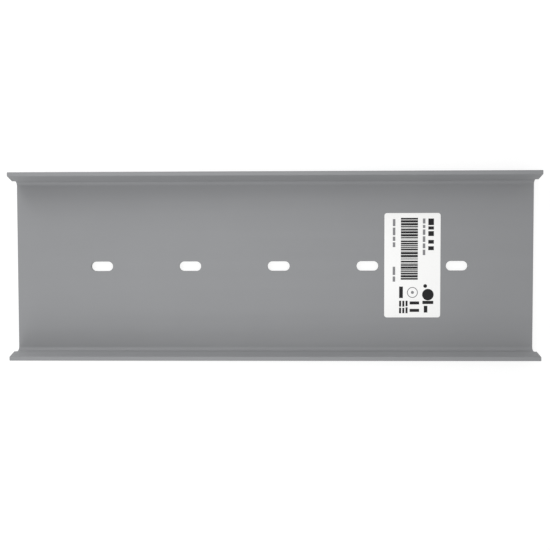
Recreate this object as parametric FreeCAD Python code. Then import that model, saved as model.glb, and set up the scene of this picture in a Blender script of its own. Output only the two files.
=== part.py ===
"""Relay mounting track: one grey PVC extrusion, sawn to length, with an adhesive label on its floor.

The track is a shallow channel that screws to a panel. A relay board is pressed in from above.
The lips lead its edges inwards, the walls give, and the edges snap into a groove in each wall.
There the board rests on a ledge and is held down by a hook, clear of the floor and its screws.

Frame: X runs along the track, Y across it and Z up, away from the panel. The origin is the
middle of the underside. All sizes are in millimetres.
"""

import math
import os

import FreeCAD
import Part

# The extrusion's length and height
track_length = 304.8
track_height = 15.9

# The printed circuit board that the track holds, and its play in the groove
board_width = 101.6
board_thickness = 1.6
board_side_play = 0.3
board_height_play = 0.2

# How far the hook over the board and the ledge under it reach in past the board's edge
hook_reach = 1.1
ledge_reach = 0.6

# The floor, the walls under the ledge, and the height of the ledge over the underside
floor_thickness = 2.2
wall_thickness = 2.3
ledge_height = 7.0

# The hook's upright nose, and the lip over it, which leads the board in
nose_height = 0.45
lead_in_run = 2.1
lip_thickness = 2.4
lip_upright_height = 2.0

# Radii of the die: foot of the wall, root of the wall, bends of its outer face, lip, nose, groove
foot_radius = 1.2
root_radius = 2.5
bend_radius = 4.0
lip_radius = 0.55
nose_radius = 0.2
groove_radius = 0.25

# The row of punched screw slots along the middle of the floor
slot_length = 13.0
slot_width = 5.6
slot_pitch = 52.5
first_slot_from_end = 50.3
least_end_margin = 20.0
punch_rounding = 0.25
most_rounding_of_floor = 1 / 3

# The adhesive label, placed halfway between the last two slots
label_width = 32.9
label_length = 61.5
label_thickness = 0.12
label_corner_radius = 1.5
label_off_middle = 0.3

# Places closer than this are the same place
same_place = 1e-6

# Places that follow from the sizes above
board_edge = board_width / 2
hook_y = board_edge - hook_reach
ledge_y = board_edge - ledge_reach
groove_y = board_edge + board_side_play
wall_outside_y = ledge_y + wall_thickness
groove_top = ledge_height + board_thickness + board_height_play
nose_top = groove_top + nose_height
lip_inside_y = hook_y + lead_in_run
lip_outside_y = lip_inside_y + lip_thickness
lead_in_slope = lead_in_run / (track_height - nose_top)
flare_top = track_height - lip_upright_height
flare_foot = flare_top - (lip_outside_y - wall_outside_y) / lead_in_slope
left_end_x = -track_length / 2
slot_room = track_length - first_slot_from_end - least_end_margin
slot_count = 1 + int(slot_room // slot_pitch)
first_slot_x = left_end_x + first_slot_from_end


def rounded_outline(corners):
    """Closed wire in the YZ plane through corners of (y, z, radius), each rounded by an arc."""
    points = [FreeCAD.Vector(0, y, z) for y, z, _ in corners]
    radii = [radius for _, _, radius in corners]
    count = len(corners)
    rounds = []
    for i, corner in enumerate(points):
        before = (points[i - 1] - corner).normalize()
        after = (points[(i + 1) % count] - corner).normalize()
        half_angle = before.getAngle(after) / 2
        reach = radii[i] / math.tan(half_angle)
        inwards = (before + after).normalize()
        to_middle = radii[i] / math.sin(half_angle) - radii[i]
        rounds.append((corner + before * reach, corner + inwards * to_middle, corner + after * reach))
    edges = []
    for i, (start, middle, end) in enumerate(rounds):
        edges.append(Part.Arc(start, middle, end).toShape())
        edges.append(Part.LineSegment(end, rounds[(i + 1) % count][0]).toShape())
    return Part.Wire(edges)


def wall_corners():
    """Corners of the section's right half, from the foot of the wall round to its root."""
    return [
        (wall_outside_y, 0, foot_radius),
        (wall_outside_y, flare_foot, bend_radius),
        (lip_outside_y, flare_top, bend_radius),
        (lip_outside_y, track_height, lip_radius),
        (lip_inside_y, track_height, lip_radius),
        (hook_y, nose_top, nose_radius),
        (hook_y, groove_top, nose_radius),
        (groove_y, groove_top, groove_radius),
        (groove_y, ledge_height, groove_radius),
        (ledge_y, ledge_height, nose_radius),
        (ledge_y, floor_thickness, root_radius),
    ]


def extrusion():
    """The channel's section, both halves, drawn once and pulled along X."""
    right = wall_corners()
    left = [(-y, z, radius) for y, z, radius in reversed(right)]
    section = Part.Face(rounded_outline(right + left))
    section.translate(FreeCAD.Vector(left_end_x, 0, 0))
    return section.extrude(FreeCAD.Vector(track_length, 0, 0))


def obround(length, width, height):
    """Round-ended bar along X, centred on the Z axis, standing on the XY plane."""
    radius = width / 2
    reach = length / 2 - radius
    edges = [
        Part.LineSegment(FreeCAD.Vector(-reach, -radius, 0), FreeCAD.Vector(reach, -radius, 0)),
        Part.Arc(
            FreeCAD.Vector(reach, -radius, 0),
            FreeCAD.Vector(length / 2, 0, 0),
            FreeCAD.Vector(reach, radius, 0),
        ),
        Part.LineSegment(FreeCAD.Vector(reach, radius, 0), FreeCAD.Vector(-reach, radius, 0)),
        Part.Arc(
            FreeCAD.Vector(-reach, radius, 0),
            FreeCAD.Vector(-length / 2, 0, 0),
            FreeCAD.Vector(-reach, -radius, 0),
        ),
    ]
    outline = Part.Wire([edge.toShape() for edge in edges])
    return Part.Face(outline).extrude(FreeCAD.Vector(0, 0, height))


def slot_centres():
    """X of each screw slot, counted from the left end."""
    return [first_slot_x + i * slot_pitch for i in range(slot_count)]


def slot_rims(shape):
    """Edges round the slots' mouths, on the side that the punch enters."""
    half_width = slot_width / 2
    rims = []
    for edge in shape.Edges:
        box = edge.BoundBox
        level = abs(box.ZMin - floor_thickness) < same_place and box.ZLength < same_place
        if level and max(abs(box.YMin), abs(box.YMax)) < half_width + same_place:
            rims.append(edge)
    return rims


def make_track():
    """The extrusion with its slots punched through, each mouth drawn in slightly by the punch."""
    punch = obround(slot_length, slot_width, floor_thickness)
    punches = []
    for x in slot_centres():
        stroke = punch.copy()
        stroke.translate(FreeCAD.Vector(x, 0, 0))
        punches.append(stroke)
    punched = extrusion().cut(Part.makeCompound(punches)).removeSplitter()
    rounding = min(punch_rounding, floor_thickness * most_rounding_of_floor)
    return punched.makeFillet(rounding, slot_rims(punched)).Solids[0]


def make_label():
    """The label, stuck flat on the floor between the last two slots."""
    middle_x = slot_centres()[-1] - slot_pitch / 2
    label = Part.makeBox(
        label_width,
        label_length,
        label_thickness,
        FreeCAD.Vector(
            middle_x - label_width / 2,
            label_off_middle - label_length / 2,
            floor_thickness,
        ),
    )
    upright = [edge for edge in label.Edges if edge.BoundBox.ZLength > label_thickness / 2]
    return label.makeFillet(label_corner_radius, upright).Solids[0]


def main():
    os.makedirs("parts", exist_ok=True)
    pieces = {"track": make_track(), "label": make_label()}
    for name, solid in pieces.items():
        solid.exportStep(f"parts/{name}.step")
        print(name, "valid" if solid.isValid() else "NOT VALID", round(solid.Volume, 1), "mm3")


main()
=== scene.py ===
import math
import random

import bmesh
import bpy
from bpy.props import FloatProperty, FloatVectorProperty, IntProperty, PointerProperty
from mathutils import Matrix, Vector


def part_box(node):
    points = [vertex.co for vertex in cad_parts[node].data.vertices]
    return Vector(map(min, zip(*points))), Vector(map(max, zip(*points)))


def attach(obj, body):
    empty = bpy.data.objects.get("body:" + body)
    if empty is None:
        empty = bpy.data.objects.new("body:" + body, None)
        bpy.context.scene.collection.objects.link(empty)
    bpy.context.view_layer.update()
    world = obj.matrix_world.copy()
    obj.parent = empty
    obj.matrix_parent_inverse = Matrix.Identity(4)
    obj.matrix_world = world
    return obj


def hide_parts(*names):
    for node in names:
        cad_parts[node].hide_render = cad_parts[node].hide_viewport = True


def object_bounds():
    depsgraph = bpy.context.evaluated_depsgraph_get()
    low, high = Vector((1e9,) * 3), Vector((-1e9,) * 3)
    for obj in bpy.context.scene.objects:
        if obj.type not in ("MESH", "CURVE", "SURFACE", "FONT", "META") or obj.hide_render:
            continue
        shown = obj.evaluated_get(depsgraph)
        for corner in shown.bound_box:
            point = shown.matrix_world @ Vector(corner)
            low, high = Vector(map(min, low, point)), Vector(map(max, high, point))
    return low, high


# A relay mounting track: a grey PVC extrusion, sawn to length and punched with screw slots,
# with a printed label on its floor. X runs along it, Y across it and Z up, in metres. Its
# underside lies at Z = 0.

bl_info = {
    "name": "Relay Mounting Track",
    "version": (1, 0, 0),
    "blender": (4, 5, 0),
    "location": "3D View > Sidebar > Relay Track",
    "description": "Models a snap-in relay mounting track with its label, and a white studio",
    "category": "Object",
}

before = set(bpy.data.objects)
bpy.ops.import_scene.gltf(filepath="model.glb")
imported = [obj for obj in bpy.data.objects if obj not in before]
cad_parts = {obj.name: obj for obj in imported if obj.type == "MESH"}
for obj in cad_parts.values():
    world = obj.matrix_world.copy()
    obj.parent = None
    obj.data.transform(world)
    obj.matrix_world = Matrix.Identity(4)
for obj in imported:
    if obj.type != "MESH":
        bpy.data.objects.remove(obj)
CAD_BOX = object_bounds()
TRACK_LOW, TRACK_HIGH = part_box("track")
LABEL_LOW, LABEL_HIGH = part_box("label")

MM = 0.001

# How finely round shapes are cut into flat facets
DEGREES_PER_FACET = 6
LEAST_FACETS_OF_A_CORNER = 2
FACETS_OF_A_ROLLED_EDGE = 4
FACETS_OF_A_DOT = 40
FACETS_OF_A_RING = 48

# Vertices this close are one, and a vertex this close to a level lies on it
ONE_PLACE = 1e-7
ON_LEVEL = 1e-6

# Edges bent by more than this stay crisp in the shading
CRISP_ANGLE = math.radians(28)

# The materials' order on the track and on the label
SKIN, SAWN, PUNCHED = range(3)
STOCK, INK, FINE_INK = range(3)

# Sockets of a colour mix, which share their names with those of its other kinds
MIX_SHARE, MIX_FIRST, MIX_SECOND = 0, 6, 7
MIX_RESULT = 2

PVC_IOR = 1.53


def linear_colour(hex_colour):
    """An sRGB hex colour, such as "#8F9092", as linear red, green and blue."""
    parts = [int(hex_colour[i:i + 2], 16) / 255 for i in (1, 3, 5)]
    return tuple(c / 12.92 if c <= 0.04045 else ((c + 0.055) / 1.055) ** 2.4 for c in parts)


def length(name, description, default):
    """A property that holds a length, given in metres."""
    return FloatProperty(name=name, description=description, default=default, min=0,
                         unit="LENGTH", subtype="DISTANCE", precision=5)


def colour(name, description, default):
    """A property that holds a colour, given in sRGB hex."""
    return FloatVectorProperty(name=name, description=description,
                               default=linear_colour(default), min=0, max=1, size=3,
                               subtype="COLOR")


def lamp_power(name, description, default):
    """A property that holds a lamp's power, given in watts."""
    return FloatProperty(name=name, description=description, default=default, min=0,
                         unit="POWER")


class TrackSettings(bpy.types.PropertyGroup):
    """Sizes of the extrusion and its slots, and the colours of its surfaces."""

    board_width: length("Board Width", "Width of the circuit board that the walls hold",
                        101.6 * MM)
    board_thickness: length("Board Thickness", "Thickness of that board", 1.6 * MM)
    side_play: length("Side Play", "Room beside each edge of the board", 0.3 * MM)
    height_play: length("Height Play", "Room over the board in its groove", 0.2 * MM)
    hook_reach: length("Hook Reach", "How far the hook reaches in past the board's edge",
                       1.1 * MM)
    ledge_reach: length("Ledge Reach", "How far the ledge reaches in past the board's edge",
                        0.6 * MM)
    floor_thickness: length("Floor", "Thickness of the floor", 2.2 * MM)
    wall_thickness: length("Wall", "Thickness of the walls under the ledge", 2.3 * MM)
    ledge_height: length("Ledge Height", "Height of the ledge over the underside", 7.0 * MM)
    nose_height: length("Nose Height", "Height of the hook's upright nose", 0.45 * MM)
    lead_in_run: length("Lead-in", "How far the lip opens outwards over the hook", 2.1 * MM)
    lip_thickness: length("Lip", "Thickness of the lip along its top", 2.4 * MM)
    lip_upright: length("Lip Upright", "Height of the lip's upright outer face", 2.0 * MM)
    foot_radius: length("Foot Radius", "Radius under the walls", 1.2 * MM)
    root_radius: length("Root Radius", "Radius between floor and walls", 2.5 * MM)
    bend_radius: length("Bend Radius", "Radius of the bends in the walls' outer faces", 4.0 * MM)
    lip_radius: length("Lip Radius", "Radius of the lip's corners", 0.55 * MM)
    nose_radius: length("Nose Radius", "Radius of the ledge's and hook's edges", 0.2 * MM)
    groove_radius: length("Groove Radius", "Radius in the groove's corners", 0.25 * MM)
    slot_length: length("Slot Length", "Length of a screw slot", 13.0 * MM)
    slot_width: length("Slot Width", "Width of a screw slot", 5.6 * MM)
    slot_pitch: length("Slot Pitch", "Distance from slot to slot", 52.5 * MM)
    first_slot: length("First Slot", "Distance of the first slot from the left end", 50.3 * MM)
    slot_count: IntProperty(name="Slots", description="Number of screw slots", default=5, min=1)
    punch_rounding: length("Punch Rounding", "Roll-over round the mouth of a slot", 0.25 * MM)
    saw_chamfer: length("Saw Chamfer", "Width of the edge that is scraped off a saw cut",
                        0.12 * MM)
    skin: colour("Skin", "Colour of the extruded surface", "#88898B")
    sawn: colour("Sawn", "Colour of the sawn ends", "#8D8E8F")


class LabelSettings(bpy.types.PropertyGroup):
    """Sizes of the label's stock, and the colours of the stock and its print."""

    corner_radius: length("Corner Radius", "Radius of the die-cut corners", 1.5 * MM)
    ink_film: length("Ink Film", "Thickness of the print, drawn thick enough to hold",
                     0.012 * MM)
    bar_module: length("Bar Module", "Width of the narrowest bar in the bar block", 0.34 * MM)
    stock: colour("Stock", "Colour of the coated stock", "#F8F8F7")
    ink: colour("Ink", "Colour of the bold print", "#121214")
    fine_ink: colour("Fine Ink", "Colour of the fine print, as its thin strokes look together",
                     "#868688")


class StudioSettings(bpy.types.PropertyGroup):
    """The camera's place, the lamps and the white surround."""

    camera_place: FloatVectorProperty(
        name="Camera", description="Place of the camera",
        default=(7.3 * MM, 6.5 * MM, 382.1 * MM), size=3, unit="LENGTH", subtype="TRANSLATION")
    camera_turn: FloatVectorProperty(
        name="Camera Turn", description="Turn of the camera away from straight down",
        default=tuple(math.radians(a) for a in (-1.78, 0.99, -0.11)), size=3,
        unit="ROTATION", subtype="EULER")
    field_of_view: FloatProperty(
        name="Field of View", description="Angle that the camera takes in from side to side",
        default=math.radians(46.35), unit="ROTATION", subtype="ANGLE")
    surround: FloatProperty(
        name="Surround", description="Light from the surround, where 1 shows as white",
        default=0.67, min=0)
    near_lamp: lamp_power("Near Lamp", "Power of the low soft lamp on the -Y side", 0.40)
    far_lamp: lamp_power("Far Lamp", "Power of the low soft lamp on the +Y side", 0.48)
    top_lamp: lamp_power("Top Lamp", "Power of the soft lamp over the track", 0.27)


def mesh_object(name, bm):
    """A new object in the scene that holds the bmesh, with the object itself at the origin."""
    mesh = bpy.data.meshes.new(name)
    bm.to_mesh(mesh)
    bm.free()
    made = bpy.data.objects.new(name, mesh)
    bpy.context.scene.collection.objects.link(made)
    return made


def check_closed(bm, name):
    """Stops the script if the mesh has a hole or a loose edge."""
    if not bm.faces or any(not edge.is_manifold for edge in bm.edges):
        raise RuntimeError(f"The mesh of {name} isn't closed")


def smooth_but_for_edges(made):
    """Shades the faces smooth between crisp edges, with flat faces kept flat."""
    made.data.shade_smooth()
    made.data.set_sharp_from_angle(angle=CRISP_ANGLE)
    flat = made.modifiers.new("flat faces lead", "WEIGHTED_NORMAL")
    flat.mode = "FACE_AREA"
    flat.weight = 100
    flat.keep_sharp = True


def rectangle(bm, width, depth, middle=(0, 0, 0)):
    """Adds a level rectangle and gives its corners in their order round it."""
    verts = bmesh.ops.create_grid(bm, x_segments=1, y_segments=1, size=0.5)["verts"]
    bmesh.ops.scale(bm, verts=verts, vec=(width, depth, 1))
    bmesh.ops.translate(bm, verts=verts, vec=middle)
    return list(verts[0].link_faces[0].verts)


def round_corners(bm, corners, radii):
    """Rounds the corners of a flat outline, each by an arc of its own radius."""
    count = len(corners)
    places = [vert.co.copy() for vert in corners]
    for i, vert in enumerate(corners):
        before = places[i - 1] - places[i]
        after = places[(i + 1) % count] - places[i]
        inside_angle = before.angle(after)
        reach = radii[i] / math.tan(inside_angle / 2)
        facets = round(math.degrees(math.pi - inside_angle) / DEGREES_PER_FACET)
        bmesh.ops.bevel(bm, geom=[vert], offset=reach, offset_type="OFFSET",
                        segments=max(LEAST_FACETS_OF_A_CORNER, facets), profile=0.5,
                        affect="VERTICES", material=-1, clamp_overlap=False)


def pull(bm, faces, way):
    """Draws flat faces out into closed bars, by a vector from their place."""
    drawn = bmesh.ops.extrude_face_region(bm, geom=faces)["geom"]
    far_verts = [part for part in drawn if isinstance(part, bmesh.types.BMVert)]
    bmesh.ops.translate(bm, verts=far_verts, vec=way)


def wall_corners(settings):
    """Corners of the section's right half as (y, z, radius), from the wall's foot to its root."""
    board_edge = settings.board_width / 2
    hook_y = board_edge - settings.hook_reach
    ledge_y = board_edge - settings.ledge_reach
    groove_y = board_edge + settings.side_play
    outside_y = ledge_y + settings.wall_thickness
    top = TRACK_HIGH.z
    groove_top = settings.ledge_height + settings.board_thickness + settings.height_play
    nose_top = groove_top + settings.nose_height
    lip_inside_y = hook_y + settings.lead_in_run
    lip_outside_y = lip_inside_y + settings.lip_thickness
    rise_per_run = (top - nose_top) / settings.lead_in_run
    flare_top = top - settings.lip_upright
    flare_foot = flare_top - (lip_outside_y - outside_y) * rise_per_run
    return [
        (outside_y, TRACK_LOW.z, settings.foot_radius),
        (outside_y, flare_foot, settings.bend_radius),
        (lip_outside_y, flare_top, settings.bend_radius),
        (lip_outside_y, top, settings.lip_radius),
        (lip_inside_y, top, settings.lip_radius),
        (hook_y, nose_top, settings.nose_radius),
        (hook_y, groove_top, settings.nose_radius),
        (groove_y, groove_top, settings.groove_radius),
        (groove_y, settings.ledge_height, settings.groove_radius),
        (ledge_y, settings.ledge_height, settings.nose_radius),
        (ledge_y, settings.floor_thickness, settings.root_radius),
    ]


def extruded_blank(settings):
    """The channel before punching: its section pulled along X, with the saw cuts' edges scraped."""
    bm = bmesh.new()
    right = wall_corners(settings)
    left = [(-y, z, radius) for y, z, radius in reversed(right)]
    scraped = settings.saw_chamfer
    start_x = TRACK_LOW.x + scraped
    corners = [bm.verts.new((start_x, y, z)) for y, z, _ in right + left]
    bm.faces.new(corners)
    round_corners(bm, corners, [radius for _, _, radius in right + left])
    pull(bm, list(bm.faces), (TRACK_HIGH.x - TRACK_LOW.x - 2 * scraped, 0, 0))
    bmesh.ops.recalc_face_normals(bm, faces=bm.faces)
    facing_x = 0.99
    cuts = [face for face in bm.faces if abs(face.normal.x) > facing_x]
    bmesh.ops.inset_region(bm, faces=cuts, thickness=scraped, depth=scraped,
                           use_boundary=True, use_even_offset=True)
    check_closed(bm, "the extrusion")
    return mesh_object("extruded_track", bm)


def slot_punches(settings):
    """One object that holds a round-ended bar at each slot, taller than the floor."""
    bm = bmesh.new()
    overrun = settings.floor_thickness
    for i in range(settings.slot_count):
        x = TRACK_LOW.x + settings.first_slot + i * settings.slot_pitch
        corners = rectangle(bm, settings.slot_length, settings.slot_width,
                            (x, 0, TRACK_LOW.z - overrun))
        round_corners(bm, corners, [settings.slot_width / 2] * len(corners))
    bmesh.ops.remove_doubles(bm, verts=bm.verts, dist=ONE_PLACE)
    pull(bm, list(bm.faces), (0, 0, settings.floor_thickness + 2 * overrun))
    bmesh.ops.recalc_face_normals(bm, faces=bm.faces)
    check_closed(bm, "the punches")
    return mesh_object("slot_punches", bm)


def slot_mouths(bm, settings):
    """The edges where the slots' walls meet the floor's upper side."""
    half_width = settings.slot_width / 2 + ON_LEVEL
    crease = math.radians(45)
    mouths = []
    for edge in bm.edges:
        on_floor = all(abs(vert.co.z - settings.floor_thickness) < ON_LEVEL
                       and abs(vert.co.y) < half_width for vert in edge.verts)
        if on_floor and len(edge.link_faces) == 2 and edge.calc_face_angle() > crease:
            mouths.append(edge)
    if not mouths:
        raise RuntimeError("No slot went through the floor")
    return mouths


def punch_slots(blank, settings):
    """Cuts the slots through the floor and rolls their upper edges over, as a punch does."""
    punches = slot_punches(settings)
    cut = blank.modifiers.new("punch", "BOOLEAN")
    cut.object = punches
    cut.operation = "DIFFERENCE"
    cut.solver = "EXACT"
    depsgraph = bpy.context.evaluated_depsgraph_get()
    punched = bpy.data.meshes.new_from_object(blank.evaluated_get(depsgraph))
    blank.modifiers.remove(cut)
    bpy.data.objects.remove(punches)
    bm = bmesh.new()
    bm.from_mesh(punched)
    bpy.data.meshes.remove(punched)
    bmesh.ops.remove_doubles(bm, verts=bm.verts, dist=ONE_PLACE)
    bmesh.ops.bevel(bm, geom=slot_mouths(bm, settings), offset=settings.punch_rounding,
                    offset_type="OFFSET", segments=FACETS_OF_A_ROLLED_EDGE, profile=0.5,
                    affect="EDGES", material=-1, clamp_overlap=False)
    check_closed(bm, "the punched track")
    bm.to_mesh(blank.data)
    bm.free()


def add_node(tree, kind, inputs=None, **settings):
    """Adds a shader node with its settings, and links or sets its inputs."""
    node = tree.nodes.new(kind)
    for name, value in settings.items():
        setattr(node, name, value)
    for socket, value in (inputs or {}).items():
        if isinstance(value, bpy.types.NodeSocket):
            tree.links.new(value, node.inputs[socket])
        else:
            node.inputs[socket].default_value = value
    return node


def new_material(name):
    """An empty node material and its tree."""
    material = bpy.data.materials.new(name)
    material.use_nodes = True
    material.node_tree.nodes.clear()
    return material, material.node_tree


def per_metre(spacing):
    """Scale of a pattern whose features lie about this far apart."""
    return 1 / spacing


def shaded(base, share):
    """A colour made darker or lighter by a share, with its alpha."""
    return (*[min(1, part * share) for part in base], 1)


def extruded_pvc(settings):
    """Rigid PVC as it leaves the die: an even grey with a satin gloss, faintly streaked along X
    by the die's polish, with a slight cloudiness from the filler."""
    material, tree = new_material("extruded_pvc_satin_grey")
    place = add_node(tree, "ShaderNodeTexCoord").outputs["Object"]
    fine_lines = add_node(tree, "ShaderNodeMapping", {
        "Vector": place,
        "Scale": (per_metre(120 * MM), per_metre(1.1 * MM), per_metre(1.1 * MM)),
    }).outputs["Vector"]
    broad_bands = add_node(tree, "ShaderNodeMapping", {
        "Vector": place,
        "Scale": (per_metre(400 * MM), per_metre(9 * MM), per_metre(9 * MM)),
    }).outputs["Vector"]
    lines = add_node(tree, "ShaderNodeTexNoise", {
        "Vector": fine_lines, "Scale": 1.0, "Detail": 3.0, "Roughness": 0.6})
    bands = add_node(tree, "ShaderNodeTexNoise", {
        "Vector": broad_bands, "Scale": 1.0, "Detail": 2.0, "Roughness": 0.5})
    cloud = add_node(tree, "ShaderNodeTexNoise", {
        "Vector": place, "Scale": per_metre(34 * MM), "Detail": 4.0, "Roughness": 0.55})
    grain = add_node(tree, "ShaderNodeTexNoise", {
        "Vector": place, "Scale": per_metre(0.9 * MM), "Detail": 2.0, "Roughness": 0.6})
    shade = add_node(tree, "ShaderNodeMix", {
        MIX_SHARE: cloud.outputs["Fac"],
        MIX_FIRST: shaded(settings.skin, 0.965),
        MIX_SECOND: shaded(settings.skin, 1.035),
    }, data_type="RGBA").outputs[MIX_RESULT]
    gloss = add_node(tree, "ShaderNodeMapRange", {
        "Value": bands.outputs["Fac"], "From Min": 0.3, "From Max": 0.7,
        "To Min": 0.57, "To Max": 0.69,
    }).outputs["Result"]
    peel = add_node(tree, "ShaderNodeBump", {
        "Height": grain.outputs["Fac"], "Distance": 0.006 * MM, "Strength": 1.0,
    }).outputs["Normal"]
    ripple = add_node(tree, "ShaderNodeBump", {
        "Height": bands.outputs["Fac"], "Distance": 0.08 * MM, "Strength": 1.0,
        "Normal": peel,
    }).outputs["Normal"]
    relief = add_node(tree, "ShaderNodeBump", {
        "Height": lines.outputs["Fac"], "Distance": 0.02 * MM, "Strength": 1.0,
        "Normal": ripple,
    }).outputs["Normal"]
    shader = add_node(tree, "ShaderNodeBsdfPrincipled", {
        "Base Color": shade, "Roughness": gloss, "IOR": PVC_IOR, "Normal": relief})
    add_node(tree, "ShaderNodeOutputMaterial", {"Surface": shader.outputs["BSDF"]})
    return material


def sawn_pvc(settings):
    """PVC cut by a fine circular saw: a little paler and quite matt, with the teeth's
    close parallel marks, which lean as the blade swings through."""
    material, tree = new_material("sawn_pvc_matt_grey")
    tooth_spacing = 0.55 * MM
    wave_at_scale_one = math.pi / 10
    place = add_node(tree, "ShaderNodeTexCoord").outputs["Object"]
    across = add_node(tree, "ShaderNodeMapping", {
        "Vector": place, "Rotation": (math.radians(12), 0, 0)}).outputs["Vector"]
    teeth = add_node(tree, "ShaderNodeTexWave", {
        "Vector": across, "Scale": wave_at_scale_one * per_metre(tooth_spacing),
        "Distortion": 1.6, "Detail": 3.0, "Detail Scale": 0.6, "Detail Roughness": 0.6,
    }, wave_type="BANDS", bands_direction="Y")
    torn = add_node(tree, "ShaderNodeTexNoise", {
        "Vector": place, "Scale": per_metre(0.5 * MM), "Detail": 4.0, "Roughness": 0.7})
    shade = add_node(tree, "ShaderNodeMix", {
        MIX_SHARE: teeth.outputs["Fac"],
        MIX_FIRST: shaded(settings.sawn, 0.93),
        MIX_SECOND: shaded(settings.sawn, 1.06),
    }, data_type="RGBA").outputs[MIX_RESULT]
    rough = add_node(tree, "ShaderNodeBump", {
        "Height": torn.outputs["Fac"], "Distance": 0.03 * MM, "Strength": 1.0,
    }).outputs["Normal"]
    relief = add_node(tree, "ShaderNodeBump", {
        "Height": teeth.outputs["Fac"], "Distance": 0.02 * MM, "Strength": 1.0,
        "Normal": rough,
    }).outputs["Normal"]
    shader = add_node(tree, "ShaderNodeBsdfPrincipled", {
        "Base Color": shade, "Roughness": 0.74, "IOR": PVC_IOR, "Normal": relief})
    add_node(tree, "ShaderNodeOutputMaterial", {"Surface": shader.outputs["BSDF"]})
    return material


def punched_pvc(settings):
    """PVC sheared by a punch: upright drag marks down the wall of each slot, dull and
    slightly whitened where the plastic was stretched before it broke."""
    material, tree = new_material("punched_pvc_dull_grey")
    place = add_node(tree, "ShaderNodeTexCoord").outputs["Object"]
    upright = add_node(tree, "ShaderNodeMapping", {
        "Vector": place,
        "Scale": (per_metre(0.4 * MM), per_metre(0.4 * MM), per_metre(6 * MM)),
    }).outputs["Vector"]
    drag = add_node(tree, "ShaderNodeTexNoise", {
        "Vector": upright, "Scale": 1.0, "Detail": 3.0, "Roughness": 0.6})
    shade = add_node(tree, "ShaderNodeMix", {
        MIX_SHARE: drag.outputs["Fac"],
        MIX_FIRST: shaded(settings.sawn, 0.95),
        MIX_SECOND: shaded(settings.sawn, 1.12),
    }, data_type="RGBA").outputs[MIX_RESULT]
    relief = add_node(tree, "ShaderNodeBump", {
        "Height": drag.outputs["Fac"], "Distance": 0.03 * MM, "Strength": 1.0,
    }).outputs["Normal"]
    shader = add_node(tree, "ShaderNodeBsdfPrincipled", {
        "Base Color": shade, "Roughness": 0.66, "IOR": PVC_IOR, "Normal": relief})
    add_node(tree, "ShaderNodeOutputMaterial", {"Surface": shader.outputs["BSDF"]})
    return material


def assign_track_surfaces(track, settings):
    """Gives the saw cuts and the slots' walls their own surface, and the rest the skin."""
    for material in (extruded_pvc(settings), sawn_pvc(settings), punched_pvc(settings)):
        track.data.materials.append(material)
    chamfer_starts = TRACK_HIGH.x - settings.saw_chamfer - ONE_PLACE
    steep = 0.5
    for face in track.data.polygons:
        in_slot_row = abs(face.center.y) <= settings.slot_width / 2
        if abs(face.center.x) > chamfer_starts:
            face.material_index = SAWN
        elif in_slot_row and abs(face.normal.z) < steep:
            face.material_index = PUNCHED
        else:
            face.material_index = SKIN


class RELAY_OT_make_track(bpy.types.Operator):
    """Model the extrusion, punch its slots and finish its surfaces"""

    bl_idname = "relay.make_track"
    bl_label = "Make Track"
    bl_options = {"REGISTER", "UNDO"}

    def execute(self, context):
        settings = context.scene.relay_track
        track = extruded_blank(settings)
        punch_slots(track, settings)
        assign_track_surfaces(track, settings)
        smooth_but_for_edges(track)
        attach(track, "root")
        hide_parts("track")
        return {"FINISHED"}


def label_paper(settings):
    """White coated label stock: bright and nearly smooth, with a soft sheen and faint fibres."""
    material, tree = new_material("coated_label_paper_white")
    place = add_node(tree, "ShaderNodeTexCoord").outputs["Object"]
    fibres = add_node(tree, "ShaderNodeTexNoise", {
        "Vector": place, "Scale": per_metre(0.7 * MM), "Detail": 5.0, "Roughness": 0.65})
    cloud = add_node(tree, "ShaderNodeTexNoise", {
        "Vector": place, "Scale": per_metre(8 * MM), "Detail": 2.0})
    shade = add_node(tree, "ShaderNodeMix", {
        MIX_SHARE: cloud.outputs["Fac"],
        MIX_FIRST: shaded(settings.stock, 0.985),
        MIX_SECOND: shaded(settings.stock, 1),
    }, data_type="RGBA").outputs[MIX_RESULT]
    gloss = add_node(tree, "ShaderNodeMapRange", {
        "Value": fibres.outputs["Fac"], "From Min": 0.3, "From Max": 0.7,
        "To Min": 0.42, "To Max": 0.50,
    }).outputs["Result"]
    relief = add_node(tree, "ShaderNodeBump", {
        "Height": fibres.outputs["Fac"], "Distance": 0.008 * MM, "Strength": 1.0,
    }).outputs["Normal"]
    shader = add_node(tree, "ShaderNodeBsdfPrincipled", {
        "Base Color": shade, "Roughness": gloss, "IOR": 1.5, "Normal": relief})
    add_node(tree, "ShaderNodeOutputMaterial", {"Surface": shader.outputs["BSDF"]})
    return material


def ribbon_ink(name, tone):
    """Resin ink from a transfer ribbon: a slightly glossy film, a little uneven in its tone."""
    material, tree = new_material(name)
    place = add_node(tree, "ShaderNodeTexCoord").outputs["Object"]
    spots = add_node(tree, "ShaderNodeTexNoise", {
        "Vector": place, "Scale": per_metre(0.6 * MM), "Detail": 3.0, "Roughness": 0.7})
    shade = add_node(tree, "ShaderNodeMix", {
        MIX_SHARE: spots.outputs["Fac"],
        MIX_FIRST: shaded(tone, 0.85),
        MIX_SECOND: shaded(tone, 1.15),
    }, data_type="RGBA").outputs[MIX_RESULT]
    shader = add_node(tree, "ShaderNodeBsdfPrincipled", {
        "Base Color": shade, "Roughness": 0.5, "IOR": 1.3})
    add_node(tree, "ShaderNodeOutputMaterial", {"Surface": shader.outputs["BSDF"]})
    return material


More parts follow.
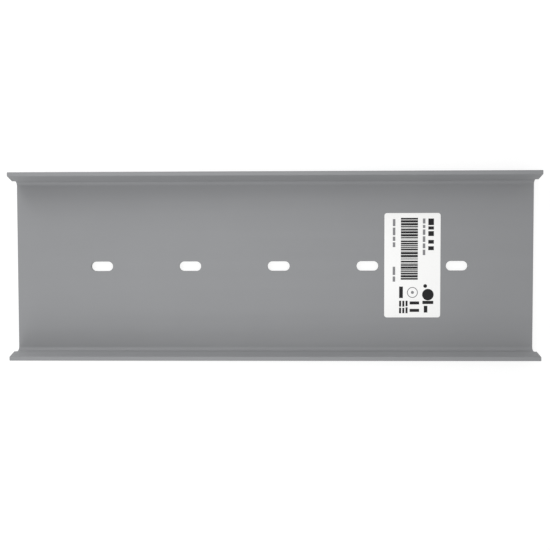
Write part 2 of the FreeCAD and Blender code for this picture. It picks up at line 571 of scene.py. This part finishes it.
class LabelPress:
    """Puts films of ink on the label. Places are in millimetres from the label's middle, as it
    is read with its top towards +X: along runs down the lines, towards -Y, and up towards +X."""

    def __init__(self, bm, film, rng):
        self.bm = bm
        self.film = film
        self.rng = rng
        self.middle = (LABEL_LOW + LABEL_HIGH) / 2
        self.middle.z = LABEL_HIGH.z

    def film_of(self, verts, along, up, surface):
        """Moves a flat patch to its place, colours it and gives it the film's thickness."""
        place = self.middle + Vector((up * MM, -along * MM, 0))
        bmesh.ops.translate(self.bm, verts=verts, vec=place)
        faces = list(dict.fromkeys(face for vert in verts for face in vert.link_faces))
        for face in faces:
            face.material_index = surface
        pull(self.bm, faces, (0, 0, self.film))

    def bar(self, along, up, run, height, surface=INK):
        """A rectangle whose middle is at (along, up)."""
        self.film_of(rectangle(self.bm, height * MM, run * MM), along, up, surface)

    def dot(self, along, up, radius, surface=INK):
        """A round spot."""
        verts = bmesh.ops.create_circle(self.bm, cap_ends=True, segments=FACETS_OF_A_DOT,
                                        radius=radius * MM)["verts"]
        self.film_of(verts, along, up, surface)

    def ring(self, along, up, radius, line, surface=INK):
        """A round outline."""
        verts = bmesh.ops.create_circle(self.bm, cap_ends=True, segments=FACETS_OF_A_RING,
                                        radius=radius * MM)["verts"]
        disc = verts[0].link_faces[0]
        bmesh.ops.inset_region(self.bm, faces=[disc], thickness=line * MM, use_boundary=True,
                               use_even_offset=True)
        hole = disc.verts[:]
        bmesh.ops.delete(self.bm, geom=[disc], context="FACES_ONLY")
        self.film_of(verts + hole, along, up, surface)

    def block_line(self, along, up, run, height, words, surface=INK):
        """A line of print as plain blocks, one for each word. The words are of uneven length,
        and an even space of about half their height parts them."""
        space = height * 0.55
        shares = [self.rng.uniform(0.6, 1.6) for _ in range(words)]
        room = run - space * (words - 1)
        for share in shares:
            word = room * share / sum(shares)
            self.bar(along + word / 2, up, word, height, surface)
            along += word + space

    def bar_block(self, along, up, run, height, module):
        """Bars of one to four modules side by side, with one or two modules between them."""
        end = along + run
        while along < end:
            width = min(self.rng.choice((1, 2, 2, 3, 3, 4)) * module, end - along)
            self.bar(along + width / 2, up, width, height)
            along += width + self.rng.choice((1, 1, 1, 1, 1, 2)) * module


def print_label(bm, settings):
    """The label's print: a bar block, lines of blocks and plain marks, none of them legible."""
    press = LabelPress(bm, settings.ink_film, random.Random(12))
    press.bar_block(along=-27.9, up=-1.8, run=36.6, height=10.0,
                    module=settings.bar_module / MM)
    for start, run in ((-27.5, 3.9), (-22.9, 1.9), (-20.1, 2.9), (-14.9, 2.2), (-11.2, 2.3)):
        press.bar(along=start + run / 2, up=10.9, run=run, height=3.3)
    press.block_line(along=-27.5, up=6.8, run=21.5, height=1.5, words=6, surface=FINE_INK)
    press.block_line(along=-27.2, up=-10.8, run=16.5, height=1.5, words=4, surface=FINE_INK)
    press.block_line(along=0.8, up=-10.8, run=8.8, height=1.5, words=2, surface=FINE_INK)
    press.bar(along=15.9, up=-6.6, run=6.8, height=2.2)
    press.ring(along=16.0, up=0.1, radius=3.2, line=0.5, surface=FINE_INK)
    press.dot(along=16.0, up=0.1, radius=0.9, surface=FINE_INK)
    for row in range(3):
        press.block_line(along=20.9, up=-7.1 + 1.9 * row, run=7.4, height=1.2, words=2)
    for along in (22.2, 26.6):
        press.bar(along=along, up=1.3, run=1.8, height=5.6)
    press.dot(along=12.2, up=7.6, radius=1.1)
    press.dot(along=17.3, up=9.2, radius=3.4)
    press.bar(along=21.9, up=9.2, run=1.9, height=6.4)
    press.bar(along=25.9, up=7.9, run=4.0, height=2.1)


def printed_label(settings):
    """The die-cut label with its print on top."""
    bm = bmesh.new()
    size = LABEL_HIGH - LABEL_LOW
    middle = (LABEL_LOW + LABEL_HIGH) / 2
    corners = rectangle(bm, size.x, size.y, (middle.x, middle.y, LABEL_LOW.z))
    round_corners(bm, corners, [settings.corner_radius] * len(corners))
    pull(bm, list(bm.faces), (0, 0, size.z))
    print_label(bm, settings)
    bmesh.ops.recalc_face_normals(bm, faces=bm.faces)
    check_closed(bm, "the label")
    return mesh_object("printed_label", bm)


class RELAY_OT_make_label(bpy.types.Operator):
    """Cut the adhesive label and print it with plain bars"""

    bl_idname = "relay.make_label"
    bl_label = "Make Label"
    bl_options = {"REGISTER", "UNDO"}

    def execute(self, context):
        settings = context.scene.relay_label
        label = printed_label(settings)
        for material in (label_paper(settings), ribbon_ink("ribbon_ink_black", settings.ink),
                         ribbon_ink("ribbon_ink_fine_print", settings.fine_ink)):
            label.data.materials.append(material)
        smooth_but_for_edges(label)
        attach(label, "root")
        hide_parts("label")
        return {"FINISHED"}


def seen_directly(tree):
    """1 for the rays that show the background itself: from the camera, a gloss or a glass."""
    rays = add_node(tree, "ShaderNodeLightPath").outputs
    first = add_node(tree, "ShaderNodeMath", {
        0: rays["Is Camera Ray"], 1: rays["Is Glossy Ray"]}, operation="MAXIMUM")
    return add_node(tree, "ShaderNodeMath", {
        0: first.outputs["Value"], 1: rays["Is Transmission Ray"],
    }, operation="MAXIMUM").outputs["Value"]


def white_sweep():
    """Matt white card, which shows as plain white but for the soft shadow round the track, and
    which fades to clear white further out, so that it meets the surround with no horizon."""
    material, tree = new_material("matt_white_card")
    shadow_fades_from, shadow_fades_to = 220 * MM, 500 * MM
    white = (1, 1, 1, 1)
    shadow_catching_grey = (0.3, 0.3, 0.3, 1)
    card_white = (0.85, 0.85, 0.85, 1)
    place = add_node(tree, "ShaderNodeTexCoord").outputs["Object"]
    distance = add_node(tree, "ShaderNodeVectorMath", {0: place}, operation="LENGTH")
    far = add_node(tree, "ShaderNodeMapRange", {
        "Value": distance.outputs["Value"], "From Min": shadow_fades_from,
        "From Max": shadow_fades_to, "To Min": 0, "To Max": 1,
    }, interpolation_type="SMOOTHSTEP").outputs["Result"]
    near_glow = add_node(tree, "ShaderNodeEmission", {"Color": white, "Strength": 0.76})
    near_card = add_node(tree, "ShaderNodeBsdfDiffuse", {"Color": shadow_catching_grey})
    near = add_node(tree, "ShaderNodeAddShader", {
        0: near_glow.outputs["Emission"], 1: near_card.outputs["BSDF"]})
    clear = add_node(tree, "ShaderNodeEmission", {"Color": white, "Strength": 1.0})
    shown = add_node(tree, "ShaderNodeMixShader", {
        0: far, 1: near.outputs["Shader"], 2: clear.outputs["Emission"]})
    card = add_node(tree, "ShaderNodeBsdfDiffuse", {"Color": card_white})
    surface = add_node(tree, "ShaderNodeMixShader", {
        0: seen_directly(tree), 1: card.outputs["BSDF"], 2: shown.outputs["Shader"]})
    add_node(tree, "ShaderNodeOutputMaterial", {"Surface": surface.outputs["Shader"]})
    return material


def lay_card():
    """Lays the card just under the track, so that the two don't share a plane."""
    card_width = 8.0
    drop = 0.05 * MM
    bm = bmesh.new()
    rectangle(bm, card_width, card_width, (0, 0, CAD_BOX[0].z - drop))
    card = mesh_object("white_card", bm)
    card.data.materials.append(white_sweep())


def hang_surround(scene, settings):
    """Hangs a surround that looks white, and that lights the track at its own strength."""
    world = bpy.data.worlds.new("white_surround")
    world.use_nodes = True
    tree = world.node_tree
    tree.nodes.clear()
    strength = add_node(tree, "ShaderNodeMapRange", {
        "Value": seen_directly(tree), "To Min": settings.surround, "To Max": 1.0,
    }).outputs["Result"]
    sky = add_node(tree, "ShaderNodeBackground", {"Color": (1, 1, 1, 1), "Strength": strength})
    add_node(tree, "ShaderNodeOutputWorld", {"Surface": sky.outputs["Background"]})
    scene.world = world


def place_lamps(scene, settings):
    """Places a low soft lamp beyond each wall and one over the track, all turned to its middle."""
    lamp_width = 240 * MM
    for name, place, power in (("near_lamp", (-0.2, -0.3, 0.16), settings.near_lamp),
                               ("far_lamp", (-0.2, 0.3, 0.16), settings.far_lamp),
                               ("top_lamp", (0, 0, 0.34), settings.top_lamp)):
        lamp_data = bpy.data.lights.new(name, "AREA")
        lamp_data.shape = "DISK"
        lamp_data.size = lamp_width
        lamp_data.energy = power
        lamp = bpy.data.objects.new(name, lamp_data)
        lamp.location = place
        lamp.rotation_euler = (-Vector(place)).to_track_quat("-Z", "Y").to_euler()
        lamp.visible_camera = False
        scene.collection.objects.link(lamp)


def place_camera(scene, settings):
    """Places the camera over the track, looking nearly straight down."""
    camera_data = bpy.data.cameras.new("camera")
    camera_data.sensor_fit = "HORIZONTAL"
    camera_data.angle = settings.field_of_view
    camera_data.clip_start = 10 * MM
    camera = bpy.data.objects.new("camera", camera_data)
    camera.location = settings.camera_place
    camera.rotation_euler = settings.camera_turn
    scene.collection.objects.link(camera)
    scene.camera = camera


class RELAY_OT_make_studio(bpy.types.Operator):
    """Lay the white card, set the surround and the lamps, and place the camera over the track"""

    bl_idname = "relay.make_studio"
    bl_label = "Make Studio"
    bl_options = {"REGISTER", "UNDO"}

    def execute(self, context):
        scene = context.scene
        settings = scene.relay_studio
        lay_card()
        hang_surround(scene, settings)
        place_lamps(scene, settings)
        place_camera(scene, settings)
        scene.view_settings.view_transform = "Standard"
        return {"FINISHED"}


class RELAY_PT_sidebar(bpy.types.Panel):
    """The track's sizes and colours, and the steps that make it"""

    bl_idname = "RELAY_PT_sidebar"
    bl_label = "Relay Track"
    bl_space_type = "VIEW_3D"
    bl_region_type = "UI"
    bl_category = "Relay Track"

    def draw(self, context):
        steps = (("relay_track", RELAY_OT_make_track), ("relay_label", RELAY_OT_make_label),
                 ("relay_studio", RELAY_OT_make_studio))
        for group_name, operator in steps:
            box = self.layout.box()
            group = getattr(context.scene, group_name)
            for name in group.__annotations__:
                box.prop(group, name)
            box.operator(operator.bl_idname)


CLASSES = (TrackSettings, LabelSettings, StudioSettings, RELAY_OT_make_track,
           RELAY_OT_make_label, RELAY_OT_make_studio, RELAY_PT_sidebar)


def register():
    for cls in CLASSES:
        bpy.utils.register_class(cls)
    bpy.types.Scene.relay_track = PointerProperty(type=TrackSettings)
    bpy.types.Scene.relay_label = PointerProperty(type=LabelSettings)
    bpy.types.Scene.relay_studio = PointerProperty(type=StudioSettings)


def unregister():
    del bpy.types.Scene.relay_studio
    del bpy.types.Scene.relay_label
    del bpy.types.Scene.relay_track
    for cls in reversed(CLASSES):
        bpy.utils.unregister_class(cls)


def main():
    register()
    bpy.ops.relay.make_track()
    bpy.ops.relay.make_label()
    bpy.ops.relay.make_studio()


if __name__ == "__main__":
    main()
